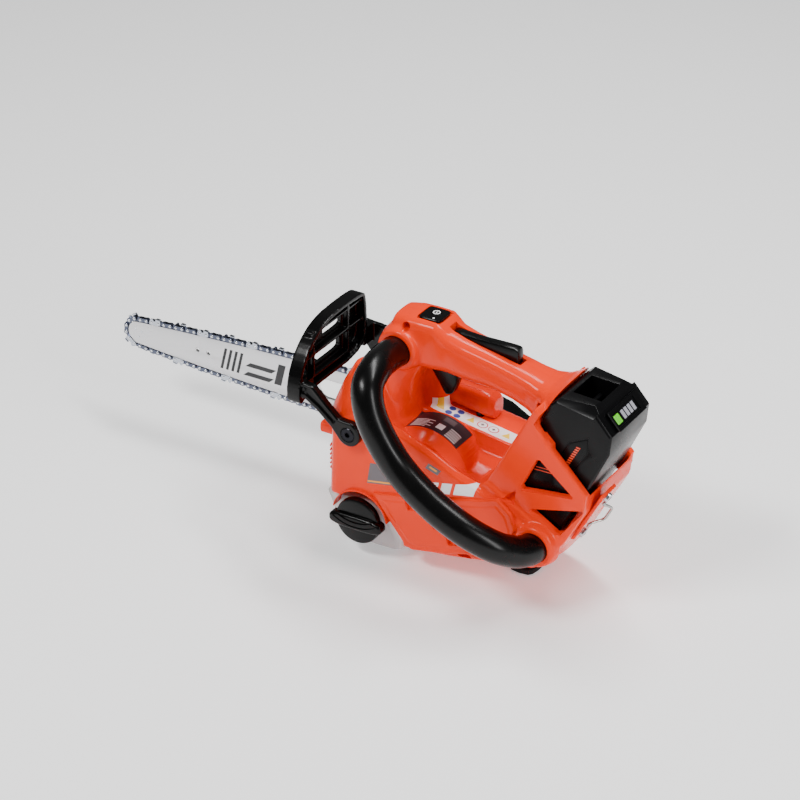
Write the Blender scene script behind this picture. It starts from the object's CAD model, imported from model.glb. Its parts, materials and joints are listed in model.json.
"""Finished look of the battery top-handle chainsaw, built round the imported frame."""

import json
import math

import bmesh
import bpy
from mathutils import Matrix, Vector

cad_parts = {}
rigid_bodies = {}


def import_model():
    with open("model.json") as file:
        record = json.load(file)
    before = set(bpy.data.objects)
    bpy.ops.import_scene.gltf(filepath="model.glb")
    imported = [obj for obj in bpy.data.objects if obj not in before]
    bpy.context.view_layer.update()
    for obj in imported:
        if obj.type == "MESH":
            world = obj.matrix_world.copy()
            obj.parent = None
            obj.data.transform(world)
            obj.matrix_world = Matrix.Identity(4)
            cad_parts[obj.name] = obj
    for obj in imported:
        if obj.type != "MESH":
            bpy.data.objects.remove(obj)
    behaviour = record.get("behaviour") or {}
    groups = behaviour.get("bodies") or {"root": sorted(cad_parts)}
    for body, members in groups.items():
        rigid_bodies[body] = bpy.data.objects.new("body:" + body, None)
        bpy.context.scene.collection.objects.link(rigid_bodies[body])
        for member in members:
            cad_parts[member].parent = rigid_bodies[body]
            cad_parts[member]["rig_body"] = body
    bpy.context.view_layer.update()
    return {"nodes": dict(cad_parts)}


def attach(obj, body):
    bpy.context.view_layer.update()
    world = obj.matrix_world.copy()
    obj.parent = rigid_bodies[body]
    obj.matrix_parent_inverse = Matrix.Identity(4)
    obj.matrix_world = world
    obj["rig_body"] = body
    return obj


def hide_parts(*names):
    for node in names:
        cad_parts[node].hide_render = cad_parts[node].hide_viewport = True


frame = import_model()

# ---------------------------------------------------------------- studio
# A white sweep of painted board under large soft boxes, and a long lens at the height of a
# person standing at the saw's left rear.
MM = 0.001
WHITE = (1.0, 1.0, 1.0, 1.0)
GRAIN_DEPTH = 0.2           # height of the moulded grain, drawn deeper than the real one so it shows
MOTTLE_SIZE = 25.0          # size of the slow change of gloss over a moulding


def linear(code):
    """An sRGB hex colour as linear RGBA."""
    channels = [int(code[i:i + 2], 16) / 255 for i in (0, 2, 4)]
    return (*[c / 12.92 if c <= 0.04045 else ((c + 0.055) / 1.055) ** 2.4 for c in channels], 1.0)


def shown(name, data):
    """A new object in the scene."""
    made = bpy.data.objects.new(name, data)
    bpy.context.scene.collection.objects.link(made)
    return made


def add(tree, kind, inputs=None, **settings):
    """Add a node with its settings; an input is a value or the socket that feeds it."""
    made = tree.nodes.new(kind)
    for key, value in settings.items():
        setattr(made, key, value)
    for key, value in (inputs or {}).items():
        if isinstance(value, bpy.types.NodeSocket):
            tree.links.new(value, made.inputs[key])
        else:
            made.inputs[key].default_value = value
    return made


def surface(name, colour, roughness, metallic=0.0, grain_mm=0.6, bump=0.02, mottle=0.05, **sockets):
    """A Principled finish with a fine grain, a slow change of roughness and any extra sockets."""
    made = bpy.data.materials.new(name)
    made.use_nodes = True
    tree = made.node_tree
    shader = tree.nodes["Principled BSDF"]
    place = add(tree, "ShaderNodeTexCoord").outputs["Object"]
    fine = add(tree, "ShaderNodeTexNoise", {"Vector": place, "Scale": 1 / (grain_mm * MM), "Detail": 2.0})
    slow = add(tree, "ShaderNodeTexNoise", {"Vector": place, "Scale": 1 / (MOTTLE_SIZE * MM), "Detail": 4.0})
    rough = add(tree, "ShaderNodeMapRange", {"Value": slow.outputs["Fac"], "From Min": 0.3, "From Max": 0.7,
                                             "To Min": roughness * (1 - mottle * 3),
                                             "To Max": roughness * (1 + mottle * 3)})
    grain = add(tree, "ShaderNodeBump", {"Height": fine.outputs["Fac"], "Strength": bump,
                                         "Distance": GRAIN_DEPTH * MM})
    base = linear(colour)
    deep = tuple(c * (1 - mottle) for c in base[:3]) + (1.0,)
    tint = add(tree, "ShaderNodeMix", {"Factor": slow.outputs["Fac"]}, data_type="RGBA")
    tint.inputs["A"].default_value = deep
    tint.inputs["B"].default_value = base
    tree.links.new(tint.outputs["Result"], shader.inputs["Base Color"])
    tree.links.new(rough.outputs["Result"], shader.inputs["Roughness"])
    tree.links.new(grain.outputs["Normal"], shader.inputs["Normal"])
    shader.inputs["Metallic"].default_value = metallic
    for key, value in sockets.items():
        shader.inputs[key.replace("_", " ")].default_value = value
    return made


floor_paint = surface("white_sweep_board", "f8f8f8", 0.9, grain_mm=3.0, mottle=0.0,
                      Emission_Color=WHITE, Emission_Strength=0.3)
REACH = 6                   # half the width of the board, in metres
sweep = bpy.data.meshes.new("sweep")
sweep.from_pydata([(-REACH, -REACH, 0), (REACH, -REACH, 0), (REACH, REACH, 0), (-REACH, REACH, 0)], [],
                  [(0, 1, 2, 3)])
sweep.materials.append(floor_paint)
shown("sweep_board", sweep)

world = bpy.data.worlds.new("studio")
world.use_nodes = True
world.node_tree.nodes["Background"].inputs["Color"].default_value = WHITE
world.node_tree.nodes["Background"].inputs["Strength"].default_value = 0.15
bpy.context.scene.world = world


def soft_box(name, where, wide, high, power):
    """A rectangular soft box that faces the middle of the saw."""
    light = bpy.data.lights.new(name, "AREA")
    light.shape = "RECTANGLE"
    light.size = wide
    light.size_y = high
    light.energy = power
    made = shown(name, light)
    made.location = where
    made.rotation_euler = (Vector(where) - CENTRE).to_track_quat("Z", "Y").to_euler()


CENTRE = Vector((0.05, -0.02, 0.1))
soft_box("key_box", (-0.5, -1.1, 1.5), 0.7, 0.3, 25)
soft_box("top_box", (0.3, 0.5, 1.6), 1.6, 0.25, 30)
soft_box("rear_box", (1.5, -0.5, 0.8), 0.25, 1.0, 13)

VIEW_AZIMUTH = math.radians(31.2)
VIEW_ELEVATION = math.radians(29.5)
VIEW_TARGET = Vector((28.717, 0.0, 117.117)) * MM
VIEW_DISTANCE = 2290 * MM
back = Vector((math.sin(VIEW_AZIMUTH) * math.cos(VIEW_ELEVATION),
               -math.cos(VIEW_AZIMUTH) * math.cos(VIEW_ELEVATION), math.sin(VIEW_ELEVATION)))
lens = bpy.data.cameras.new("camera")
lens.lens = 130.5
lens.sensor_width = 36
lens.clip_end = 20
camera = shown("camera", lens)
camera.location = VIEW_TARGET + back * VIEW_DISTANCE
camera.rotation_euler = back.to_track_quat("Z", "Y").to_euler()
bpy.context.scene.camera = camera

# ---------------------------------------------------------------- orange shells
# The motor housing, the top handle and the battery bay are injection moulded in glossy
# orange-red nylon. The left and right shells meet on the handle's centre plane, and the
# housing, handle and bay flow into each other with large moulded radii.
DATUM = Vector((46.0, 0.0, 0.0))      # drawing datum of the sizes below, from the frame's origin
HANDLE_Y = -3.0                       # centre plane of the top handle
DRUM = (115.7, 79.0)                  # (x, z) of the motor drum
DRUM_RADIUS = 39.4
PIVOT = (62.0, 110.0)                 # (x, z) of the hand guard's pivot screws
TUBE_START = (88.0, 178.0)            # (x, z) where the front handle leaves the head
TUBE_END = (224.0, 56.0)              # (x, z) of its socket under the bay
CAP = (69.5, 33.0)                    # (x, z) of the oil cap
BAY_TILT = math.radians(28)
BATTERY_Y = -4.0                      # centre plane of the battery bay
SHARP = 35                            # degrees past which an edge stays crisp

orange = surface("orange_moulded_nylon", "f23200", 0.2, bump=0.012, mottle=0.03, Specular_IOR_Level=0.18)


def piece(name, mesh, mat, angle=SHARP):
    """Turn a bmesh into an object shaded smooth between edges sharper than an angle."""
    data = bpy.data.meshes.new(name)
    mesh.to_mesh(data)
    mesh.free()
    data.materials.append(mat)
    data.shade_smooth()
    data.set_sharp_from_angle(angle=math.radians(angle))
    return shown(name, data)


def coat(data, mat):
    """Give a mesh one material."""
    data.materials.clear()
    data.materials.append(mat)


def ringed(name, rings, mat, angle=SHARP, closed=False, origin=Vector((0, 0, 0))):
    """Skin a list of point rings in millimetres, with capped ends."""
    mesh = bmesh.new()
    made = [[mesh.verts.new((Vector(p) - origin) * MM) for p in ring] for ring in rings]
    pairs = list(zip(made, made[1:]))
    if closed:
        pairs.append((made[-1], made[0]))
    for low, high in pairs:
        for i in range(len(low)):
            j = (i + 1) % len(low)
            mesh.faces.new((low[i], low[j], high[j], high[i]))
    if not closed:
        mesh.faces.new(made[0])
        mesh.faces.new(made[-1])
    bmesh.ops.recalc_face_normals(mesh, faces=mesh.faces)
    return piece(name, mesh, mat, angle)


def skin(name, rings, mat=orange, closed=False):
    """Skin a list of point rings given in millimetres from the datum."""
    return ringed(name, rings, mat, SHARP, closed, DATUM)


def slab(name, outline, y0, y1, mat=orange):
    """A side view (x, z) drawn out from y0 to y1."""
    return skin(name, [[(x, y, z) for x, z in outline] for y in (y0, y1)], mat)


def circle(centre, radius, count=48):
    """Points round a circle."""
    turns = [2 * math.pi * i / count for i in range(count)]
    return [(centre[0] + radius * math.cos(t), centre[1] + radius * math.sin(t)) for t in turns]


def arc(centre, radius, start, end, count):
    """Points along an arc in degrees, both ends included."""
    turns = [math.radians(start + (end - start) * i / (count - 1)) for i in range(count)]
    return [(centre[0] + radius * math.cos(t), centre[1] + radius * math.sin(t)) for t in turns]


def drum(name, centre, profile, mat=orange, count=48, closed=False):
    """A solid turned about an axis parallel to Y; the profile is (radius, y) points."""
    return skin(name, [[(x, y, z) for x, z in circle(centre, r, count)] for r, y in profile], mat, closed)


def rounded(centre, half_w, half_h, count=28, power=2.8):
    """Points of a rounded rectangle (a superellipse) about a centre."""
    points = []
    for i in range(count):
        t = 2 * math.pi * (i + 0.5) / count
        u = math.copysign(abs(math.cos(t)) ** (2 / power), math.cos(t)) * half_w
        v = math.copysign(abs(math.sin(t)) ** (2 / power), math.sin(t)) * half_h
        points.append((centre[0] + u, centre[1] + v))
    return points


def softened(outline, rounds=2, part=0.22):
    """Cut the corners of a closed outline a few times over."""
    for _ in range(rounds):
        made = []
        for a, b in zip(outline, outline[1:] + outline[:1]):
            made.append((a[0] + (b[0] - a[0]) * part, a[1] + (b[1] - a[1]) * part))
            made.append((b[0] + (a[0] - b[0]) * part, b[1] + (a[1] - b[1]) * part))
        outline = made
    return outline


def bay(depth, height):
    """Battery bay coordinates (front to rear, along the insertion axis) to (x, z)."""
    return (height * math.sin(BAY_TILT) + depth * math.cos(BAY_TILT),
            height * math.cos(BAY_TILT) - depth * math.sin(BAY_TILT))


def bay_slab(name, outline, y0, y1, mat=orange):
    """A slab whose outline is given in battery bay coordinates."""
    return slab(name, [bay(p, a) for p, a in outline], y0, y1, mat)


def tidy(mesh):
    """Merge doubled points and drop flattened faces after a Boolean."""
    clean = bmesh.new()
    clean.from_mesh(mesh)
    bmesh.ops.remove_doubles(clean, verts=clean.verts, dist=0.01 * MM)
    bmesh.ops.dissolve_degenerate(clean, edges=clean.edges, dist=0.005 * MM)
    clean.to_mesh(mesh)
    clean.free()


def evaluated(target):
    """Apply an object's modifiers to its mesh."""
    bpy.context.view_layer.update()
    graph = bpy.context.evaluated_depsgraph_get()
    result = bpy.data.meshes.new_from_object(target.evaluated_get(graph))
    target.modifiers.clear()
    target.data = result


def carve(target, tools, operation="DIFFERENCE", solver="MANIFOLD"):
    """Cut tools out of a piece, or join them to it, or keep only what is inside them."""
    own = target.data.materials[0]
    for tool in tools:
        step = target.modifiers.new("step", "BOOLEAN")
        step.operation = operation
        step.solver = solver
        step.object = tool
        evaluated(target)
        bpy.data.objects.remove(tool, do_unlink=True)
    tidy(target.data)
    coat(target.data, own)
    for face in target.data.polygons:
        face.material_index = 0
    target.data.shade_smooth()
    target.data.set_sharp_from_angle(angle=math.radians(SHARP))
    return target


def melt(name, parts, voxel_mm, rounds, mat=orange):
    """Fuse closed parts into one skin on a fine grid and relax it, as moulded radii do."""
    mesh = bmesh.new()
    for part in parts:
        mesh.from_mesh(part.data)
        bpy.data.objects.remove(part, do_unlink=True)
    made = piece(name, mesh, mat)
    grid = made.modifiers.new("grid", "REMESH")
    grid.mode = "VOXEL"
    grid.voxel_size = voxel_mm * MM
    relax = made.modifiers.new("relax", "SMOOTH")
    relax.factor = 0.5
    relax.iterations = rounds
    evaluated(made)
    coat(made.data, mat)
    made.data.shade_smooth()
    return made


def ride(made, node):
    """Let a finished piece stand for its CAD node, on that node's body."""
    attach(made, frame["nodes"][node]["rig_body"])
    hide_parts(node)


def follow(made, node):
    """Let an added piece move with a CAD node's body."""
    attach(made, frame["nodes"][node]["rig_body"])


def body_layer(y, front, ridge, lift, shrink=0.0):
    """Side view of the motor housing at one depth: ridge gives its top at five stations."""
    top = list(zip((178, 154, 132, 103, 90), ridge))
    points = [(front, 46.8), (106, 46.8), (107, 6 + lift * 0.4), (150, 6 + lift * 0.6), (204, 6 + lift),
              (230, 31 + lift * 0.4), bay(188, 163), bay(113, 163)] + top + [
        (64, ridge[4] - 2), (front + 16, ridge[4] - 5), (front + 2, 104)]
    middle = Vector((130, 75))
    return [(x + (middle.x - x) * shrink, y, z + (middle.y - z) * shrink) for x, z in points]


deck = (106.7, 110.4, 113.7, 118.2, 119)
housing = skin("housing", [
    body_layer(-50.5, 40, (84, 92, 103, 113, 116), 27, 0.06),
    body_layer(-49, 39, (89, 97, 108, 119, 122), 26, 0.02),
    body_layer(-44, 37, (92, 99, 110, 121, 124), 24),
    body_layer(-36, 35, (86, 92, 103, 112, 117), 20),
    body_layer(-26, 31, (86, 90, 100, 109, 115), 12),
    body_layer(-14, 26, (89, 92, 101, 110, 116), 4),
    body_layer(-4, 22, (95, 97, 104, 113, 118), 0),
    body_layer(-0.5, 22, deck, 0), body_layer(28, 18, deck, 0),
    body_layer(35, 18.5, deck, 2), body_layer(40, 20, deck, 6, 0.03)])
dome = slab("dome", arc(DRUM, DRUM_RADIUS - 0.6, -10, 190, 60), -30, -2)
crisp_dome = skin("crisp_dome", [
    [(x, y, z) for x, z in arc(DRUM, DRUM_RADIUS - inset, 0, 180, 120)]
    for y, inset in ((-38, 8), (-31, 2.2), (-30.2, 0.9), (-29.4, 0), (-1.5, 0))])
pivot_boss = drum("pivot_boss", PIVOT, [(11, -50.3), (13, -46), (14, -30)])

grip_sections = [  # x, top, bottom, half width, corner power
    (76, 199, 168, 14, 2.6), (80, 203.6, 166, 17.5, 3.6), (92, 204.9, 164, 19, 4.4),
    (104, 205, 163, 19.3, 4.6), (117, 204.8, 163, 19, 4.4), (121, 202.5, 163, 18.6, 3.8),
    (127, 197.8, 162.5, 17.8, 3.4), (140, 193.6, 160.8, 17.4, 3.4), (152, 191, 160.4, 17, 3.4),
    (168, 188, 159.4, 16.8, 3.4), (185, 184.4, 155.5, 17, 3.4), (198, 181.4, 150.5, 17.8, 3.3),
    (209, 179, 144, 20.5, 3.2), (218, 179, 136, 26, 3.2), (226, 181.5, 128, 33, 3.4),
    (233, 185, 118, 38, 3.6)]
grip = skin("grip", [
    [(x, y, z) for y, z in rounded((HANDLE_Y, (top + low) / 2), half, (top - low) / 2, 36, power)]
    for x, top, low, half, power in grip_sections])


def plan_stack(name, sections, count, power):
    """Rounded plan views one above another; each is (z, front, rear, left, right)."""
    return skin(name, [
        [(x, y, z) for x, y in rounded(((front + rear) / 2, (left + right) / 2), (rear - front) / 2,
                                       (right - left) / 2, count, power)]
        for z, front, rear, left, right in sections])


column = plan_stack("column", [
    (z, front, rear, HANDLE_Y + shift - half, HANDLE_Y + shift + half)
    for z, front, rear, half, shift in (
        (194, 76, 116, 15, 0), (178, 67.5, 111, 18.5, 0), (168, 61, 107, 20, 1), (158, 54, 101, 22, 2),
        (148, 47, 96, 25, 3), (138, 41, 93, 29, 4), (129, 35, 92, 33, 5), (121, 29, 93, 37, 5),
        (112, 24, 94, 41, 4))], 36, 2.9)
web = plan_stack("web", [(166, 92, 110, 2, 17), (155, 86, 107, 2, 24), (143, 82, 107, 3, 32),
                         (131, 78, 111, 4, 37), (118, 76, 113, 4, 38)], 24, 2.6)
tube_boss = drum("tube_boss", TUBE_START, [(15.5, -28.5), (16.8, -27.5), (19.5, -18), (21, -6)])
neck_root = plan_stack("neck_root", [(z, 60 - wide, 60 + wide, -22 - deep, -22 + deep) for z, wide, deep in (
    (112, 30, 28), (124, 26, 24), (140, 20, 17), (158, 10, 9))], 24, 2.4)

BAY_HALF = 40.0               # half the bay's outer width
BAY_WALL = 6.4                # from the bay's outer face to its cavity
WINDOW_CORNER = 2.6           # cut off each corner of the side windows
cage = bay_slab("cage", [(111.8, 160.5), (186, 160.5), (188.5, 170), (188.5, 203), (182, 221.5), (160, 229),
                         (136, 236), (125, 241), (121, 252), (111.8, 255)],
                BATTERY_Y - BAY_HALF, BATTERY_Y + BAY_HALF)
cavity = bay_slab("cavity", [(119.7, 167), (182.2, 167), (182.2, 330), (119.7, 330)],
                  BATTERY_Y - BAY_HALF + BAY_WALL, BATTERY_Y + BAY_HALF - BAY_WALL)
window_cutters = []
for side in (-1, 1):
    for corners in ([(135, 220), (136.5, 184.5), (175.5, 212)], [(150.5, 175), (181.5, 173.5), (187, 209)]):
        middle = [sum(c[k] for c in corners) / 3 for k in (0, 1)]
        soft = []
        for number, corner in enumerate(corners):
            for other in (corners[number - 1], corners[(number + 1) % 3]):
                step = WINDOW_CORNER / math.dist(corner, other)
                soft.append((corner[0] + (other[0] - corner[0]) * step,
                             corner[1] + (other[1] - corner[1]) * step))
        layers = []
        for reach, grow in ((30, 0.0), (38.6, 0.0), (41.5, 1.6)):
            ring = []
            for p, a in soft:
                away = 1 + grow / math.dist((p, a), middle)
                x, z = bay(middle[0] + (p - middle[0]) * away, middle[1] + (a - middle[1]) * away)
                ring.append((x, BATTERY_Y + side * reach, z))
            layers.append(ring)
        window_cutters.append(skin("window", layers))
window_cutters.append(bay_slab("pack_clearance", [(117.9, 243), (131, 238.4), (150, 233), (150, 330),
                                                  (117.9, 330)], -60, 60))
carve(cage, [cavity])
socket = drum("socket", TUBE_END, [(15.6, -52), (17.5, -50), (19.5, -42)])
bay_root = bay_slab("bay_root", [(102, 148), (150, 150), (178, 168), (112, 170)], -46, 36)

SKIN_GRID = 1.2               # grid that fuses the shells' radii
shell = melt("shell", [housing, dome, pivot_boss, grip, column, web, tube_boss, neck_root, cage, socket,
                       bay_root], SKIN_GRID, 5)

# crisp work on the moulded skin: bores, slots, seats and recesses
cutters = [
    drum("arch", CAP, [(24.6, -70), (24.6, -30)], count=96),
    drum("tube_seat", TUBE_START, [(12.9, -60), (12.9, -10)]),
    drum("tube_seat", TUBE_END, [(12.9, -60), (12.9, -46)]),
    slab("trigger_slot", [(99, 140), (137.5, 140), (137.5, 172), (99, 172)], HANDLE_Y - 5.2,
         HANDLE_Y + 5.2),
    slab("lever_slot", [(124, 174), (186.5, 174), (186.5, 230), (124, 230)], HANDLE_Y - 5, HANDLE_Y + 5),
    drum("pivot_hole", PIVOT, [(3.4, -60), (3.4, -36)]), *window_cutters,
    slab("air_inlet", [(193, 87), (204.5, 97.5), (203.5, 84)], -60, -41),
    slab("panel_seat", [(98.3, 202.7), (119.4, 202.7), (119.4, 230), (98.3, 230)], -14.9, 6.9),
    slab("key_seat", [(104, 195), (114, 195), (114, 204), (104, 204)], -6.5, 2.5)]
for x, z, depth in ((93, 197.5, -12), (214, 164, -7)):
    cutters.append(drum("screw_recess", (x, z), [(3.6, -32), (3.6, depth)], count=32))
for x, z in ((127, 42), (148, 35.5), (162, 28)):
    cutters.append(slab("drip_slot", [(x - 7, z + 2.2), (x + 6, z + 2.2), (x + 8, z - 2), (x - 3, z - 2)],
                        -60, -43.5))
flange = slab("flange", arc(CAP, 25.4, 8, 168, 60) + arc(CAP, 23.2, 168, 8, 60), -53.5, -38)
ribs = [skin("rib", [[(36.4 + lean, y, z) for z in (height - 0.7, height + 0.7)] + [(34.9 + lean, y, height)]
                     for y, lean in ((-44, 1.2), (-30, -2.4))]) for height in (66, 70, 74, 78, 82, 86)]
lug = skin("lug", [[(x, y, z) for y, z in rounded((-16, 85), 6 - trim, 5 - trim, 20, 4)]
                   for x, trim in ((13, 0.8), (14, 0), (30, 0))])
carve(shell, [crisp_dome, flange, lug], "UNION")
carve(shell, ribs, "UNION", "EXACT")
carve(shell, cutters)


def region(name, outline, y0=-120, y1=120):
    """A block used to share the moulded skin out between its nodes."""
    return slab(name, outline, y0, y1)


def share(name, keep, drop=()):
    """A copy of the moulded skin that keeps what is inside some blocks and outside others."""
    made = shown(name, shell.data.copy())
    carve(made, keep, "INTERSECT")
    if drop:
        carve(made, drop)
    return made


SPLIT = 0.06                  # half the parting line between the shells
bay_area = [bay(111.2, 162.3), bay(111.2, 400), bay(260, 400), bay(260, 162.3)]
handle_area = [(0, 119.3), (89, 119.3), (94, 138), (160, 138), bay(111.1, 150), bay(111.1, 400), (0, 400)]
ride(share("battery_bay_shell", [region("keep", bay_area)]), "battery_bay")
ride(share("handle_left_shell", [region("keep", handle_area, -120, HANDLE_Y - SPLIT)]), "handle_left")
ride(share("handle_right_shell", [region("keep", handle_area, HANDLE_Y + SPLIT, 120)]), "handle_right")
low_area = [(0, 0), (300, 0), (300, 400), (0, 400)]
for side, y0, y1 in (("left", -120, HANDLE_Y - SPLIT), ("right", HANDLE_Y + SPLIT, 120)):
    drop = [region("drop", bay_area), region("drop", handle_area)]
    ride(share("motor_housing_%s_shell" % side, [region("keep", low_area, y0, y1)], drop),
         "motor_housing_" + side)

# ---------------------------------------------------------------- decals
# Printed vinyl decals on the orange shells: a dark data plate over the motor drum, a white
# strip of plain coloured shapes on the deck, plain white bars low on the left side and two
# dark patches with an amber line under the front handle. None of them carries words.
plum = surface("dark_plate_vinyl", "33292f", 0.35, mottle=0.02)
white = surface("white_vinyl", "f6f6f6", 0.4, mottle=0.01)
grey = surface("grey_vinyl", "5f585c", 0.4, mottle=0.02)
amber = surface("amber_vinyl", "f29a1c", 0.4, mottle=0.02)
yellow = surface("yellow_vinyl", "f2d21c", 0.4, mottle=0.02)
blue = surface("blue_vinyl", "2142a0", 0.4, mottle=0.02)
red = surface("red_vinyl", "c8202a", 0.4, mottle=0.02)


FILM, PRINT = 0.12, 0.2       # how far a film and the print on it stand off the moulding
HOUSING = "motor_housing_left"


def decal(name, outline, mat, lift, span, node, from_above=False):
    """The part of the moulded skin behind an outline, lifted off it by a film's thickness."""
    if from_above:
        tool = skin("outline", [[(x, y, z) for x, y in outline] for z in span])
    else:
        tool = slab("outline", outline, *span)
    made = shown(name, shell.data.copy())
    carve(made, [tool], "INTERSECT")
    offset = Vector((0, 0, lift)) if from_above else Vector((0, -lift, 0))
    made.data.transform(Matrix.Translation(offset * MM))
    coat(made.data, mat)
    follow(made, node)


def box(x0, y0, x1, y1):
    """Corners of an upright rectangle."""
    return [(x0, y0), (x1, y0), (x1, y1), (x0, y1)]


def plate_patch(name, corners, mat, lift=PRINT):
    """A rectangle on top of the motor drum."""
    decal(name, box(*corners), mat, lift, (90, 125), HOUSING, True)


def strip_patch(name, outline, mat, lift=PRINT):
    """A shape on the deck, given along and across the deck strip."""
    decal(name, [(101.5 + along, 0.8 + across) for along, across in outline], mat, lift, (95, 125),
          "motor_housing_right", True)


def side_patch(name, outline, mat, lift=FILM, deepest=-38):
    """A shape on the housing's left side."""
    decal(name, outline, mat, lift, (-60, deepest), HOUSING)


plate_patch("drum_plate", (97, -28.9, 143, -3.5), plum, FILM)
for row in range(6):
    plate_patch("plate_line", (100, -27 + row * 2.1, 113 + row % 2 * 4, -26.1 + row * 2.1), white)
plate_patch("plate_block", (121, -24, 127, -17), white)
plate_patch("plate_frame", (121, -12, 131, -6), grey)
for row in range(5):
    plate_patch("plate_line", (131, -27 + row * 2.6, 140, -26 + row * 2.6), white)

strip_patch("deck_strip", softened(box(0, 0, 74, 14), 2, 0.05), white, FILM)
for u in (7, 34, 66):
    strip_patch("triangle", [(u - 3.6, 4), (u + 3.6, 4), (u, 11)], yellow)
for u, v in ((15, 3.8), (15, 10.4), (22.5, 3.8), (22.5, 10.4)):
    strip_patch("disc", circle((u, v), 2.8, 28), blue)
for u in (44, 54):
    strip_patch("ring", circle((u, 7), 4.4, 32), red)
    strip_patch("ring_inside", circle((u, 7), 3.6, 32), white, 0.28)
    strip_patch("ring_inside", circle((u, 7), 1.6, 4), grey, 0.34)

BAR_SLOPE = 0.215
for x, wide in ((105.5, 1.6), (108.8, 1.6), (112.1, 1.6), (116, 22), (141, 9), (153, 18)):
    low, rise = 70.4 + (x - 105.5) * BAR_SLOPE, wide * BAR_SLOPE
    side_patch("side_bar", [(x, low), (x + wide, low + rise), (x + wide + 2.4, low + rise + 10),
                            (x + 2.4, low + 10)], white, FILM, -40)
side_patch("dark_patch", [(75, 67), (100, 72), (101, 89), (78, 86)], grey)
side_patch("amber_line", [(75.6, 68.4), (98, 72.6), (98, 74), (75.8, 69.8)], amber, PRINT)
side_patch("dark_patch", [(128, 97), (139, 93.5), (142, 98), (131, 102)], grey)
side_patch("amber_line", [(131.5, 98.5), (138, 96.2), (138.8, 97.6), (132.3, 99.9)], amber, PRINT)
bpy.data.objects.remove(shell)

# ---------------------------------------------------------------- vent cover, finger rail, bracket
# Separate orange mouldings: the vented cover under the housing's left side, the ribbed rail
# behind the trigger where the fingers close, and the bracket behind the battery bay.
COVER_OUTLINE = [(81, 61), (110, 67), (142, 75), (178, 84.5), (193, 90), (205, 80), (211, 62), (205, 42),
                 (178, 34.5), (140, 24), (117, 19.5), (111, 22), (94, 43)]
VENTS = ((111, 63), (134, 53), (148, 43))      # (x, z) of each vent's top front corner


def shrunk(outline, distance):
    """Move every edge of a closed outline inwards."""
    area = sum(a[0] * b[1] - b[0] * a[1] for a, b in zip(outline, outline[1:] + outline[:1]))
    moved = []
    for i, point in enumerate(outline):
        before = Vector(point) - Vector(outline[i - 1])
        after = Vector(outline[(i + 1) % len(outline)]) - Vector(point)
        first = Vector((-before.y, before.x)).normalized() * math.copysign(1, area)
        second = Vector((-after.y, after.x)).normalized() * math.copysign(1, area)
        shift = (first + second) * (distance / (1.0 + first.dot(second)))
        moved.append((point[0] + shift.x, point[1] + shift.y))
    return moved


def layered(name, outline, layers, mat=orange):
    """A side view (x, z) drawn along Y; each layer is (y, how far the outline is inset there)."""
    return skin(name, [[(x, y, z) for x, z in shrunk(outline, inward)] for y, inward in layers], mat)


cover = layered("cover", COVER_OUTLINE, ((-49.5, 0), (-52.2, 0), (-53, 0.9)))
socket_gap = drum("socket_gap", TUBE_END, [(18.6, -70), (18.6, -40)])
raised = layered("raised", COVER_OUTLINE, ((-52.5, 5.5), (-53.2, 5.5), (-53.6, 6.2)))
carve(cover, [raised], "UNION")
carve(cover, [socket_gap])
cover_parts = melt("vent_cover_moulding", [cover], 0.7, 2)
vent_cuts = [slab("vent", [(x, z), (x + 19, z + 4), (x + 20, z - 1), (x + 17, z - 4), (x + 3, z - 7.5)],
                  -56, -50.6) for x, z in VENTS]
carve(cover_parts, vent_cuts)
fins = [slab("fin", [(x + step, z + 1), (x + step + 1.4, z + 1.5), (x + step + 3.4, z - 7),
                     (x + step + 2, z - 7.5)], -53, -50) for x, z in VENTS for step in (5.5, 11.5)]
carve(cover_parts, fins, "UNION")
ride(cover_parts, "vent_cover")

RAIL_Y = 26.0                 # middle of the finger rail
DECK_SLOPE = 0.1525           # fall of the deck under it, per millimetre
rail_rings = []
for x, top, half in ((97.6, 133, 8), (101, 136.6, 10.6), (120, 135.8, 11), (138, 134.3, 10.9),
                     (145, 132.2, 10.2), (149.6, 128.2, 7.4)):
    low = 118.9 - max(0.0, x - 100) * DECK_SLOPE
    rail_rings.append([(x, y, z) for y, z in rounded((RAIL_Y, (top + low) / 2), half, (top - low) / 2, 32,
                                                     3.4)])
rail = melt("finger_rail_moulding", [skin("rail", rail_rings)], 0.8, 3)
carve(rail, [skin("groove", [[(x, row - 0.9, top + 2), (x, row + 0.9, top + 2), (x, row, top - 1.1)]
                             for x, top in ((104, 136.6), (142, 133.8))])
             for row in (RAIL_Y - 6, RAIL_Y, RAIL_Y + 6)])
ride(rail, "finger_rail")

bracket = bay_slab("bracket", [(188.8, 169), (191.6, 171), (191.6, 221), (188.8, 222)], -32, -10)
ride(melt("rear_bracket_moulding", [bracket], 0.6, 3), "rear_bracket")

# ---------------------------------------------------------------- guide bar and chain
# Laminated steel guide bar with a satin ground face and a polished nose, and a quarter-inch
# chain of blued tie straps, drive links and chromed cutters, riveted every 6.35 mm.
BAR_Y = 45.0                  # middle plane of the bar
AXIS_Z = 78.0                 # height of its centre line
NOSE_X = -212.0               # centre of the nose
TAIL_X = 96.0                 # rear end, under the side cover
NOSE_RADIUS = 10.5
BAR_SWELL = 10.3              # how much taller than the nose each half is at the rear
PITCH = 6.35                  # rivet spacing

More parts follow.
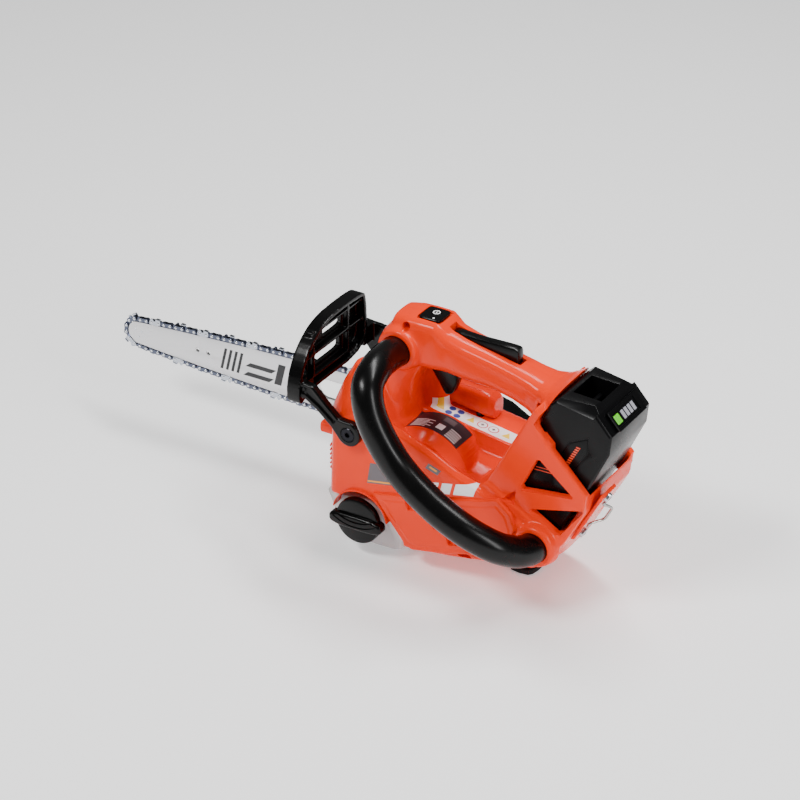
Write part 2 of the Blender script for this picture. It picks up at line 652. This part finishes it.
bar_steel = surface("ground_bar_steel", "d9d8da", 0.3, 1.0, grain_mm=0.8, bump=0.03, mottle=0.06)
nose_steel = surface("polished_nose_steel", "dedede", 0.22, 1.0, bump=0.01)
chain_steel = surface("blued_chain_steel", "5d6272", 0.3, 1.0, bump=0.02)
rivet_steel = surface("bright_rivet_steel", "cfd2d8", 0.2, 1.0, bump=0.01)
chrome = surface("chromed_cutter", "b9bec8", 0.12, 1.0, bump=0.0)
print_ink = surface("black_print", "16161a", 0.4)


def half_height(x):
    """Half the height of the guide bar at x."""
    t = min(max((x - NOSE_X) / (TAIL_X - NOSE_X), 0.0), 1.0)
    return NOSE_RADIUS + BAR_SWELL * (1 - (1 - t) ** 2.2)


def bar_edge(grow, tail):
    """The bar's edge moved outwards: along the bottom to the nose, and back along the top."""
    stations = [NOSE_X + 9 * i for i in range(1, 33)]
    nose = arc((NOSE_X, AXIS_Z), NOSE_RADIUS + grow, 256, 104, 25)
    low = [(x, AXIS_Z - half_height(x) - grow) for x in reversed(stations)]
    high = [(x, AXIS_Z + half_height(x) + grow) for x in stations]
    return low + nose + high + tail


def bevelled(made, width_mm, angle=40):
    """Round a finished piece's sharp edges and apply the modifier."""
    step = made.modifiers.new("edge", "BEVEL")
    step.width = width_mm * MM
    step.segments = 2
    step.limit_method = "ANGLE"
    step.angle_limit = math.radians(angle)
    evaluated(made)
    made.data.shade_smooth()
    made.data.set_sharp_from_angle(angle=math.radians(50))


bar_tail = [(TAIL_X - 8, AXIS_Z + 15.2), (TAIL_X, AXIS_Z + 11), (TAIL_X, AXIS_Z - 11),
            (TAIL_X - 8, AXIS_Z - 15.2)]
bar = slab("guide_bar_plate", bar_edge(-0.1, bar_tail), BAR_Y - 1.6, BAR_Y + 1.6, bar_steel)
bar_cuts = [slab("window", arc((x0, AXIS_Z), half, 90, 270, 17) + arc((x1, AXIS_Z), half, -90, 90, 17),
                 BAR_Y - 5, BAR_Y + 5)
            for x0, x1, half in ((-21.3, 25.3, 8.7), (50.6, 85.4, 4.6))]
bar_cuts += [drum("hole", (x, AXIS_Z + 0.5), [(2.0, BAR_Y - 5), (2.0, BAR_Y + 5)], count=24)
             for x in (-151.0, -140.0)]
carve(bar, bar_cuts)
bevelled(bar, 0.35)
bar.data.materials.append(nose_steel)
for face in bar.data.polygons:
    if abs(face.normal.y) < 0.5 or face.center.x / MM + DATUM.x < NOSE_X - 2:
        face.material_index = 1
ride(bar, "guide_bar")

nose_rivets = [drum("nose_rivet", (NOSE_X + 4 * math.cos(t), AXIS_Z + 4 * math.sin(t)),
                    [(1.0, BAR_Y - 1.75), (1.0, BAR_Y + 1.75)], rivet_steel, 16)
               for t in (0.5, 2.6, 4.7)]
carve(nose_rivets[0], nose_rivets[1:], "UNION", "EXACT")
nose_rivets[0].name = "nose_rivets"
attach(nose_rivets[0], "powerhead")


def bar_mark(x, wide, low, high, lean=5.0):
    """A slanted plain block printed on the bar's left face."""
    points = [(x, low), (x + wide, low), (x + wide + lean, high), (x + lean, high)]
    return slab("mark", points, BAR_Y - 1.68, BAR_Y - 1.5, print_ink)


marks = [bar_mark(-128 + 5.4 * i, 2.6, 68, 88) for i in range(4)]
marks += [bar_mark(-105, 26, 68, 72), bar_mark(-102.5, 26, 77, 81), bar_mark(-74, 7, 68, 88),
          bar_mark(-60, 7, 68, 88), bar_mark(-46, 12, 68, 88)]
carve(marks[0], marks[1:], "UNION", "EXACT")
marks[0].name = "bar_print"
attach(marks[0], "powerhead")


def link_plate(outline, y0, y1, mat):
    """One pressed chain plate about its own centre, in millimetres."""
    return ringed("plate", [[(x, y, z) for x, z in outline] for y in (y0, y1)], mat, 50)


def joined(name, parts):
    """Join parts into one object without fusing them, each with its own material."""
    with bpy.context.temp_override(active_object=parts[0], selected_editable_objects=parts,
                                   selected_objects=parts):
        bpy.ops.object.join()
    parts[0].name = name
    return parts[0]


def rivets(side_y):
    """The two domed rivet heads of a strap on one side."""
    outward = math.copysign(1, side_y)
    return [ringed("rivet", [[(x + u, side_y + outward * rise, v) for u, v in circle((0, 0), radius, 10)]
                             for radius, rise in ((1.35, 0.0), (1.2, 0.22), (0.7, 0.36))], rivet_steel, 60)
            for x in (-PITCH / 2, PITCH / 2)]


INNER, OUTER = 1.0, 1.95      # the side plates' faces, from the chain's middle plane
strap_shape = (arc((-PITCH / 2, 0), 2.25, 110, 250, 6) + [(0, -1.5)]
               + arc((PITCH / 2, 0), 2.25, -70, 70, 6) + [(0, 1.7)])
drive_shape = [(-5.1, 0.4), (-4.6, -1.4), (-1.6, -2.2), (-0.8, -2.3), (1.2, -2.3), (4.6, -1.4), (5.1, 0.4),
               (4.3, 2.0), (1.6, 2.3), (0, 1.6), (-1.6, 2.3), (-4.3, 2.0)]
cutter_shape = [(-5.4, -1.6), (-3.2, -2.2), (3.2, -2.2), (5.4, -1.4), (5.9, 1.2), (5.5, 3.5), (1.5, 3.9),
                (0.9, 1.7), (-0.9, 1.5), (-1.9, 3.4), (-3.5, 3.6), (-4.7, 1.8), (-5.5, 0.4)]
strap = joined("strap_link", [link_plate(strap_shape, INNER, OUTER, chain_steel),
                              link_plate(strap_shape, -OUTER, -INNER, chain_steel)]
               + rivets(OUTER) + rivets(-OUTER))
drive = joined("drive_link", [link_plate(drive_shape, -0.8, 0.8, chain_steel)])
cutter_links = {}
for side in (-1, 1):
    roof = link_plate([(1.6, 3.2), (5.6, 2.9), (5.5, 3.5), (1.5, 3.95)], *sorted((side * -0.6, side * 2.45)),
                      chrome)
    plates = [link_plate(cutter_shape, *sorted((side * INNER, side * OUTER)), chrome), roof,
              link_plate(strap_shape, *sorted((side * -OUTER, side * -INNER)), chain_steel)]
    cutter_links[side] = joined("cutter_link", plates + rivets(OUTER) + rivets(-OUTER))

RIDE_HEIGHT = 2.3             # the rivets' line above the bar's edge
SPROCKET = (114.0, AXIS_Z)
loop_tail = arc(SPROCKET, 12.9 + RIDE_HEIGHT, 72, -72, 17)
loop_points = bar_edge(RIDE_HEIGHT, loop_tail)
loop_curve = bpy.data.curves.new("chain_path", "CURVE")
loop_curve.dimensions = "3D"
run = loop_curve.splines.new("POLY")
run.points.add(len(loop_points) - 1)
for point, (x, z) in zip(run.points, loop_points):
    point.co = (*((Vector((x, BAR_Y, z)) - DATUM) * MM), 1.0)
run.use_cyclic_u = True
loop_path = shown("chain_path", loop_curve)
loop_length = sum(math.dist(a, b) for a, b in zip(loop_points, loop_points[1:] + loop_points[:1]))
LINKS = 8 * round(loop_length / PITCH / 8)    # a whole number of cutter repeats

# the links keep their own steels, so the tree sets no material
links_tree = bpy.data.node_groups.new("links_along_a_loop", "GeometryNodeTree")
for label, kind in (("Geometry", "NodeSocketGeometry"), ("Link", "NodeSocketObject"),
                    ("Links", "NodeSocketInt"), ("Period", "NodeSocketInt"), ("Phase", "NodeSocketInt")):
    links_tree.interface.new_socket(label, in_out="INPUT", socket_type=kind)
links_tree.interface.new_socket("Geometry", in_out="OUTPUT", socket_type="NodeSocketGeometry")
given = add(links_tree, "NodeGroupInput").outputs
even = add(links_tree, "GeometryNodeResampleCurve", {"Curve": given["Geometry"], "Count": given["Links"]})
index = add(links_tree, "GeometryNodeInputIndex")
remainder = add(links_tree, "FunctionNodeIntegerMath", {0: index.outputs["Index"], 1: given["Period"]},
                operation="MODULO")
chosen = add(links_tree, "FunctionNodeCompare", {2: remainder.outputs["Value"], 3: given["Phase"]},
             data_type="INT", operation="EQUAL")
tangent = add(links_tree, "GeometryNodeInputTangent")
turned = add(links_tree, "FunctionNodeAlignRotationToVector", {"Vector": tangent.outputs["Tangent"]},
             axis="X", pivot_axis="Y")
item = add(links_tree, "GeometryNodeObjectInfo", {"Object": given["Link"]})
placed = add(links_tree, "GeometryNodeInstanceOnPoints", {
    "Points": even.outputs["Curve"], "Selection": chosen.outputs["Result"],
    "Instance": item.outputs["Geometry"], "Rotation": turned.outputs["Rotation"]})
real = add(links_tree, "GeometryNodeRealizeInstances", {"Geometry": placed.outputs["Instances"]})
add(links_tree, "NodeGroupOutput", {"Geometry": real.outputs["Geometry"]})


def along_loop(name, link, period, phase):
    """Set copies of a link along the chain's loop and turn them into a plain mesh."""
    made = shown(name, loop_curve.copy())
    step = made.modifiers.new("links", "NODES")
    step.node_group = links_tree
    named = {s.name: s.identifier for s in links_tree.interface.items_tree if s.in_out == "INPUT"}
    for label, value in (("Link", link), ("Links", LINKS), ("Period", period), ("Phase", phase)):
        step[named[label]] = value
    bpy.context.view_layer.update()
    graph = bpy.context.evaluated_depsgraph_get()
    result = bpy.data.meshes.new_from_object(made.evaluated_get(graph))
    bpy.data.objects.remove(made, do_unlink=True)
    return shown(name, result)


chain = joined("saw_chain_links", [
    along_loop("part", drive, 2, 1), along_loop("part", strap, 4, 2),
    along_loop("part", cutter_links[-1], 8, 0), along_loop("part", cutter_links[1], 8, 4)])
ride(chain, "saw_chain")
for spare in (strap, drive, cutter_links[-1], cutter_links[1], loop_path):
    bpy.data.objects.remove(spare, do_unlink=True)

# ---------------------------------------------------------------- front handle
# A bent steel tube with a satin black coating, from the handle's head round the left side to
# the socket under the battery bay.
satin = surface("satin_black_coating", "050505", 0.26, bump=0.008, Specular_IOR_Level=0.22)
TUBE_Y = -92.0                # centre of the tube where it stands furthest out
TUBE_RADIUS = 12.5


def spline(points, steps):
    """A Catmull-Rom curve through the points."""
    run = [Vector(p) for p in points]
    run = [run[0] * 2 - run[1]] + run + [run[-1] * 2 - run[-2]]
    curve = []
    for a, b, c, d in zip(run, run[1:], run[2:], run[3:]):
        for i in range(steps):
            t = i / steps
            curve.append(0.5 * (2 * b + (c - a) * t + (2 * a - 5 * b + 4 * c - d) * t * t
                                + (3 * b - a - 3 * c + d) * t ** 3))
    curve.append(run[-2])
    return curve


def swept(name, path, radius, mat, count):
    """A round bar swept along a path without twisting."""
    points = [Vector(p) for p in path]
    forward = [(b - a).normalized() for a, b in zip(points, points[1:])]
    tangents = [forward[0]] + [(a + b).normalized() for a, b in zip(forward, forward[1:])] + [forward[-1]]
    across = tangents[0].orthogonal().normalized()
    rings = []
    for point, tangent in zip(points, tangents):
        across = (across - tangent * across.dot(tangent)).normalized()
        other = tangent.cross(across)
        rings.append([point + (across * math.cos(t) + other * math.sin(t)) * radius
                      for t in (2 * math.pi * i / count for i in range(count))])
    return skin(name, rings, mat)


sx, sz = TUBE_START
ex, ez = TUBE_END
route = [(sx, -14, sz), (sx, -28, sz), (sx + 1, -46, sz + 2), (93, -68, 181), (97, TUBE_Y + 7, 173),
         (107, TUBE_Y, 151), (128, TUBE_Y - 1, 121), (158, TUBE_Y - 2, 98), (186, TUBE_Y, 82),
         (207, TUBE_Y + 9, 69), (218, TUBE_Y + 23, 60), (ex - 1, -58, ez + 1), (ex, -53, ez), (ex, -48.5, ez)]
ride(swept("front_handle_tube", spline(route, 8), TUBE_RADIUS, satin, 48), "front_handle")

# ---------------------------------------------------------------- hand guard
# Moulded black nylon guard: a shallow tray with a wide rim, ribs and open windows, carried by
# one arm on each side of the saw on a shouldered pivot screw.
black = surface("black_moulded_nylon", "030303", 0.24, bump=0.012, Specular_IOR_Level=0.22)
GUARD_FACE = [(-60, 125), (-62, 137), (-57, 154), (-45, 169.5), (-28, 180), (-8, 184), (33, 184), (39, 179),
              (41, 131), (-44, 131), (-52, 127)]


def across_slab(name, outline, x0, x1, mat=black):
    """A front view (y, z) drawn out from x0 to x1."""
    return skin(name, [[(x, y, z) for y, z in outline] for x in (x0, x1)], mat)


face = softened(GUARD_FACE)
guard = across_slab("guard", face, 8.0, 20.0)
pocket = across_slab("pocket", shrunk(face, 3.2), 11.4, 30)
carve(guard, [pocket])
for corners in ((-50, 156.5, 38, 159), (-57, 136.5, 39, 138.8), (-38, 174, 36, 176),
                (-35.5, 137, -33, 178), (15.5, 137, 18, 182)):
    carve(guard, [across_slab("rib", box(*corners), 10.5, 17)], "UNION")
left_arm = [(11, 131), (22, 131), (33, 124), (46, 113), (53, 104.5)] + arc(PIVOT, 10.5, 215, 440, 32) + [
    (53, 121), (42, 131), (30, 143), (11, 146)]
arm = layered("arm", left_arm, ((-58, 0.8), (-57.2, 0), (-51.2, 0), (-51, 0.4)), black)
carve(arm, [slab("web_cut", [(15, 136), (23, 135), (35, 127.5), (49, 116.5), (51.5, 119), (41, 128.5),
                             (29, 140), (15, 142.5)], -60, -56)])
bridge = slab("bridge", box(9, 130.5, 20, 146), -57.6, -40, black)
right_arm = [(9, 131), (20, 118), (50, 103)] + arc(PIVOT, 10.0, 225, 400, 24) + [(38, 147), (9, 149)]
brake_arm = slab("brake_arm", right_arm, 49.6, 54.6, black)
brake_bridge = slab("brake_bridge", box(8.5, 133, 19.5, 149), 36, 52, black)
carve(guard, [bridge, arm, brake_bridge, brake_arm], "UNION")
guard = melt("hand_guard_moulding", [guard], 0.75, 3, black)
openings = ((-10, 148, 21, 5.3), (0, 167.5, 13.5, 5.3), (-45, 147, 5, 5.5), (-42.5, 162, 4.5, 4.5))
carve(guard, [across_slab("window", rounded((y, z), wide, high, 28, 5.0), -5, 30)
              for y, z, wide, high in openings]
      + [drum("hole", PIVOT, [(3.4, -70), (3.4, 70)]), drum("seat", PIVOT, [(6.4, -70), (6.4, -54.7)])])
ride(guard, "hand_guard")

dark_steel = surface("blackened_steel", "26262a", 0.3, 1.0, bump=0.01)
for side, inner, seat, face_y in (("left", -34.0, -54.8, -58.4), ("right", 34.0, 54.9, 57.9)):
    outward = math.copysign(1, face_y)
    screw = drum("screw", PIVOT, [(3.0, inner), (3.0, seat), (5.9, seat), (5.9, face_y - outward * 0.5),
                                  (5.4, face_y)], dark_steel)
    carve(screw, [drum("socket", PIVOT, [(2.4, face_y - outward * 2.2), (2.4, face_y + outward * 2)],
                       dark_steel, 6)])
    screw.name = "guard_screw_%s_finish" % side
    ride(screw, "guard_screw_" + side)

# ---------------------------------------------------------------- controls
# Black trigger and lock-out lever in the grip, and the power panel in the head: a thin black
# plate with a round key, a white ring mark and a small lamp.
KEY = (109.0, -2.0)           # (x, y) of the power key
HEAD_TOP = 205.0


def both_sides(middle, steps):
    """Layers mirrored about a plane, from (distance, inset) steps given from the outside in."""
    return ([(middle - reach, inward) for reach, inward in steps]
            + [(middle + reach, inward) for reach, inward in reversed(steps)])


blade = softened([(103, 170), (106, 160), (113, 150), (120, 138.5), (126, 140.5), (130, 150), (132.5, 163),
                  (132, 173), (110, 179), (104, 177)], 1, 0.15)
ride(layered("trigger_blade", blade, both_sides(HANDLE_Y, ((4.6, 1.6), (3.8, 0.4), (3, 0))), black),
     "trigger")
wedge = [(126.2, 186), (126.2, 195.8), (127.5, 196.6), (134, 196.1), (150, 195.3), (160, 195.6), (170, 195.8),
         (180, 195.9), (183.2, 194.8), (184, 192.5), (184, 183), (160, 181.5)]
ride(layered("lever_wedge", wedge, both_sides(HANDLE_Y, ((4.5, 1.1), (4.1, 0.3), (3.4, 0))), black),
     "lockout_lever")


def standing(name, outline, z0, z1, mat, edge=0.0):
    """A plan view (x, y) drawn up from z0 to z1, with a chamfered top rim."""
    layers = [(z0, 0), (z1 - edge, 0), (z1, edge)] if edge else [(z0, 0), (z1, 0)]
    return skin(name, [[(x, y, z) for x, y in shrunk(outline, inward)] for z, inward in layers], mat)


panel = standing("power_plate", rounded((108.5, -4), 9.6, 10, 44, 5.5), HEAD_TOP - 2.1, HEAD_TOP + 0.3, black,
                 0.4)
carve(panel, [standing("key_hole", circle(KEY, 4.3), HEAD_TOP - 5, HEAD_TOP + 3, black)])
ride(panel, "power_panel")
key = standing("power_key_cap", circle(KEY, 3.9), HEAD_TOP - 4.6, HEAD_TOP + 0.6, black, 0.3)
ride(key, "power_button")
ring_mark = standing("ring_mark", circle(KEY, 3.1), HEAD_TOP + 0.5, HEAD_TOP + 0.72, white)
carve(ring_mark, [standing("inner", circle(KEY, 2.2), HEAD_TOP, HEAD_TOP + 2, white)])
carve(ring_mark, [standing("bar", box(KEY[0] - 0.4, KEY[1] - 1.4, KEY[0] + 0.4, KEY[1] + 1.4),
                           HEAD_TOP + 0.5, HEAD_TOP + 0.72, white)], "UNION")
follow(ring_mark, "power_button")
follow(standing("power_lamp", circle((111.5, -11), 0.9, 24), HEAD_TOP, HEAD_TOP + 0.55, white, 0.2),
       "power_panel")

# ---------------------------------------------------------------- oil tank and cap
# Blow-moulded milky polyethylene tank with a threaded neck, its rubber seal, and the black
# turning cap with a raised wing and two curved grooves for the fingertips.
milky = surface("milky_polyethylene", "cfcbcd", 0.3, bump=0.02, Subsurface_Weight=0.15)
rubber = surface("black_rubber", "0d0d0d", 0.75, grain_mm=0.4, bump=0.08, Specular_IOR_Level=0.3)
tank_view = softened([(48, 5), (98, 5), (105, 12), (105, 46.2), (30, 46.2), (35, 35), (41, 19)], 2, 0.18)
tank = layered("tank", tank_view, ((-43, 2.6), (-41.5, 1.2), (-39, 0.3), (-36, 0), (34, 0), (37, 2.6)), milky)
neck = drum("neck", CAP, [(15.5, -50.0), (15.5, -36.0)], milky)
carve(tank, [neck], "UNION")
carve(tank, [drum("mouth", CAP, [(12.0, -60), (12.0, -38)], milky)])
tank.name = "oil_tank_moulding"
ride(tank, "oil_tank")

ride(drum("cap_seal_ring", CAP, [(12.3, -51.5), (15.2, -51.5), (15.2, -50.3), (12.3, -50.3)], plum, 48, True),
     "cap_seal")

cap_x, cap_z = CAP
disc = drum("disc", CAP, [(17.6, -58.2), (19.2, -57.4), (19.8, -56.2), (19.8, -52.6), (19.2, -51.8),
                          (11.6, -51.8), (11.6, -44.0)], black, 96)
wing_view = softened(box(cap_x - 24, cap_z - 6.2, cap_x + 24, cap_z + 6.2), 3, 0.2)
wing = layered("wing", wing_view, ((-62, 2.2), (-61.6, 1.2), (-60.8, 0.4), (-59.6, 0), (-53.5, 0)), black)
carve(disc, [wing], "UNION")
GROOVE_CENTRE = (cap_x, cap_z + 34)
grooves = [slab("groove", arc(GROOVE_CENTRE, high, 270 - half, 270 + half, 28)
                + arc(GROOVE_CENTRE, low, 270 + half, 270 - half, 28), -70, floor)
           for high, low, half, floor in ((33.2, 31.6, 35, -60.9), (37.4, 36.2, 32, -61.0))]
carve(disc, grooves)
disc.name = "oil_cap_moulding"
ride(disc, "oil_cap")

# ---------------------------------------------------------------- battery pack
# Removable pack in charcoal nylon: chamfered top corners, a hand recess with a release bar, a
# raised gauge box with a green key and four grey bars, and a five-sided plate on each side.
pack_black = surface("charcoal_nylon", "060607", 0.28, bump=0.015, Specular_IOR_Level=0.16)
gauge_grey = surface("grey_lamp_window", "9a9aa2", 0.35)
green = surface("green_key", "5fd01e", 0.35)
stripe_orange = surface("orange_ink", "e0401a", 0.4)
PACK_HALF = 32.0              # half the pack's width
GAUGE_LOW, GAUGE_HIGH = (153.0, 280.5), (171.0, 273.8)


def bay_layers(name, outline, layers, mat):
    """A solid whose outline in bay coordinates is inset at each depth."""
    return skin(name, [
        [(x, y, z) for x, z in [bay(p, a) for p, a in shrunk(outline, inward)]] for y, inward in layers], mat)


pack_outline = [(120.5, 170), (179, 170), (179, 224), (177, 259), GAUGE_HIGH, GAUGE_LOW, (146, 281.5),
                (121.5, 270), (118.4, 262), (118.4, 246), (120.5, 243)]
pack = bay_layers("pack", pack_outline, both_sides(BATTERY_Y, ((PACK_HALF, 1.6), (PACK_HALF - 1.6, 0))),
                  pack_black)
shoulders = []
for side in (-1, 1):
    low = [bay(115, 258), bay(152, 270), bay(152, 300), bay(115, 300)]
    high = [bay(115, 276), bay(152, 287), bay(152, 300), bay(115, 300)]
    shoulders.append(skin("shoulder", [[(x, BATTERY_Y + side * reach, z) for x, z in face]
                                       for reach, face in ((40, low), (19, high))], pack_black))
carve(pack, shoulders)
carve(pack, [bay_layers("recess", softened([(125, 250), (146.5, 250), (146.5, 300), (125, 300)], 1, 0.06),
                        both_sides(BATTERY_Y, ((15, 0),)), pack_black)])
side_plate = [(147, 245), (147, 221), (161, 221), (163, 247), (157, 259)]
for side in (-1, 1):
    face_y = BATTERY_Y + side * PACK_HALF
    groove_layers = sorted([(face_y - side * 0.7, -0.7), (face_y + side * 2, -0.7)])
    carve(pack, [bay_layers("groove", side_plate, groove_layers, pack_black)])
    plate_layers = sorted([(face_y - side * 2, 0.4), (face_y - side * 0.05, 0.4)])
    carve(pack, [bay_layers("plate", side_plate, plate_layers, pack_black)], "UNION")
bevelled(pack, 0.7, 30)
pack.name = "battery_case_moulding"
ride(pack, "battery_case")

ink = []
for side in (-1, 1):
    face_y = BATTERY_Y + side * PACK_HALF
    shapes = [[(153.0, a), (153.0, a + 1.5), (156.2, a + 2.7), (156.2, a + 1.2)]
              for a in (226 + number * 2.4 for number in range(9))]
    shapes += [[(136, a), (150, a + 8), (150, a + 8.9), (136, a + 0.9)] for a in (206, 203)]
    for outline in shapes:
        ink.append(bay_layers("ink", outline, sorted([(face_y - side * 0.3, 0), (face_y + side * 0.02, 0)]),
                              stripe_orange))
follow(joined("battery_stripes", ink), "battery_case")

latch_outline = softened([(137, 250.4), (142, 250.4), (142, 266), (137, 266)], 2, 0.2)
ride(bay_layers("latch_bar", latch_outline, both_sides(BATTERY_Y, ((13, 0.8), (12.2, 0))), pack_black),
     "battery_latch")


def on_gauge(p0, p1, low, high):
    """A strip lying on the pack's sloping top face, in bay coordinates."""
    along = (Vector(GAUGE_HIGH) - Vector(GAUGE_LOW)).normalized()
    up = Vector((-along.y, along.x))
    ends = [Vector(GAUGE_LOW) + along * ((p - GAUGE_LOW[0]) / along.x) for p in (p0, p1)]
    return [tuple(ends[end] + up * rise) for end, rise in ((0, low), (1, low), (1, high), (0, high))]


gauge = bay_layers("gauge_box", on_gauge(155.5, 171.5, 0.4, 2.8),
                   both_sides(BATTERY_Y, ((22, 0.5), (21.4, 0))), pack_black)
KEY_Y = BATTERY_Y - 15                  # middle of the gauge key
frame_cut = bay_layers("frame_cut", on_gauge(158.2, 168.8, 2.35, 6),
                       ((BATTERY_Y - 19.5, 0), (BATTERY_Y + 15, 0)), pack_black)
hole = bay_layers("hole", on_gauge(159.6, 167.4, -1.6, 6.0), both_sides(KEY_Y, ((3.85, 0),)), pack_black)
carve(gauge, [frame_cut, hole])
gauge.name = "gauge_panel_moulding"
ride(gauge, "gauge_panel")
ride(bay_layers("gauge_key_cap", on_gauge(160, 167, -0.4, 3.0),
                both_sides(KEY_Y, ((3.5, 0.3), (3.1, 0))), green), "gauge_key")
bars = [bay_layers("bar", on_gauge(160.2, 166.8, 2.2, 2.62), ((y, 0), (y + 3.6, 0)), gauge_grey)
        for y in (BATTERY_Y - 8 + 5.2 * number for number in range(4))]
follow(joined("gauge_bars", bars), "gauge_panel")

# ---------------------------------------------------------------- bracket screws, ring, small metal
# Bright socket screws hold the rear bracket and the bent wire ring; the same screws sit at the
# bottom of the handle's recesses and beside the finger rail.
bright = surface("zinc_plated_steel", "c9cacf", 0.25, 1.0, bump=0.01)
wire = surface("bent_wire", "a9a9a6", 0.3, 1.0, bump=0.01)


def socket_screw(name, start, end, radius, mat=bright):
    """A cap screw between two points, with a round edge and a hexagon socket in its end."""
    first, last = Vector(start), Vector(end)
    axis = (last - first).normalized()
    across = axis.orthogonal().normalized()
    other = axis.cross(across)

    def ring(at, size, sides=40):
        """A ring of points round the screw's axis."""
        turns = [2 * math.pi * i / sides for i in range(sides)]
        return [at + (across * math.cos(t) + other * math.sin(t)) * size for t in turns]

    body = skin(name, [ring(first, radius), ring(last - axis * 0.5, radius), ring(last, radius - 0.5)], mat)
    carve(body, [skin("hexagon", [ring(last - axis * 1.3, radius * 0.5, 6),
                                  ring(last + axis, radius * 0.5, 6)], mat)])
    return body


for number, height in enumerate((175, 217.5), 1):
    start, end = bay(191.9, height), bay(194.6, height)
    screw = socket_screw("bracket_screw_%d_finish" % number, (start[0], -23, start[1]),
                         (end[0], -23, end[1]), 4.2)
    ride(screw, "bracket_screw_%d" % number)
for number, (x, z, deep) in enumerate(((93, 197.5, -13.5), (216, 164.5, -19.5)), 1):
    follow(socket_screw("handle_screw_%d" % number, (x, deep + 3, z), (x, deep, z), 3.2), "handle_left")
follow(socket_screw("deck_screw", (137, 19, 112), (137, 19, 116.4), 3.2, dark_steel), "motor_housing_right")

# the ring's wire from its two ends: out from the bracket, along it and across the saw
bend = [(0, -15, 0), (0, -11, 0), (2.6, -8.5, 4), (5.6, -5.5, 8.5), (5.9, 1, 9), (5.6, 7.5, 8.5),
        (2.6, 10.5, 4), (0, 12.5, 0), (0, 15, 0)]
ring_path = []
for outward, along, up in bend:
    x, z = bay(193.4 + outward, 198 + along)
    ring_path.append((x, -24 + up, z))
ride(swept("carry_ring_wire", spline(ring_path, 5), 1.15, wire, 20), "carry_ring")

# ---------------------------------------------------------------- right side and feet
# Black side cover over the sprocket, its two studs and hexagon nuts, the tension screw and the
# aluminium chain catcher; two rubber feet underneath.


def refined(node, mat, width_mm):
    """A node's own shape with merged points, flat faces and rounded edges."""
    data = frame["nodes"][node].data.copy()
    data.transform(frame["nodes"][node].matrix_world)
    clean = bmesh.new()
    clean.from_mesh(data)
    bmesh.ops.remove_doubles(clean, verts=clean.verts, dist=0.002 * MM)
    bmesh.ops.dissolve_limit(clean, angle_limit=math.radians(1.5), verts=clean.verts, edges=clean.edges)
    clean.to_mesh(data)
    clean.free()
    coat(data, mat)
    made = shown(node + "_finish", data)
    bevelled(made, width_mm, 30)
    ride(made, node)


for node, mat, width in (
        ("side_cover", black, 1.6), ("bar_nut_1", bright, 0.5), ("bar_nut_2", bright, 0.5),
        ("bar_stud_1", bright, 0.3), ("bar_stud_2", bright, 0.3), ("tension_screw", bright, 0.3),
        ("chain_catcher", bright, 0.8), ("foot_front", rubber, 0.6), ("foot_rear", rubber, 0.6)):
    refined(node, mat, width)

# ---------------------------------------------------------------- inside
# Pieces inside the shells keep their plain shapes and take their finishes: machined steel,
# the copper-wound stator, the potted controller, black nylon and rubber.
copper = surface("enamelled_copper", "a8542c", 0.35, 1.0)
machined = surface("machined_steel", "b4b6ba", 0.3, 1.0)
board = surface("potting_compound", "16241d", 0.45)
INSIDE = {
    machined: ("sprocket_shaft", "sprocket_gear", "shaft_bearing_left", "shaft_bearing_right", "brake_drum",
               "brake_band", "motor_shaft", "motor_rotor", "motor_bearing", "motor_pinion", "bearing_plate",
               "trigger_pin", "trigger_spring", "lever_pin", "oil_pump"),
    dark_steel: ("drive_sprocket",), copper: ("motor_stator",), board: ("controller",),
    black: ("cooling_fan", "trigger_switch", "terminal_block"), rubber: ("oil_hose", "battery_lead")}
for mat, nodes in INSIDE.items():
    for node in nodes:
        coat(frame["nodes"][node].data, mat)

bpy.context.view_layer.update()
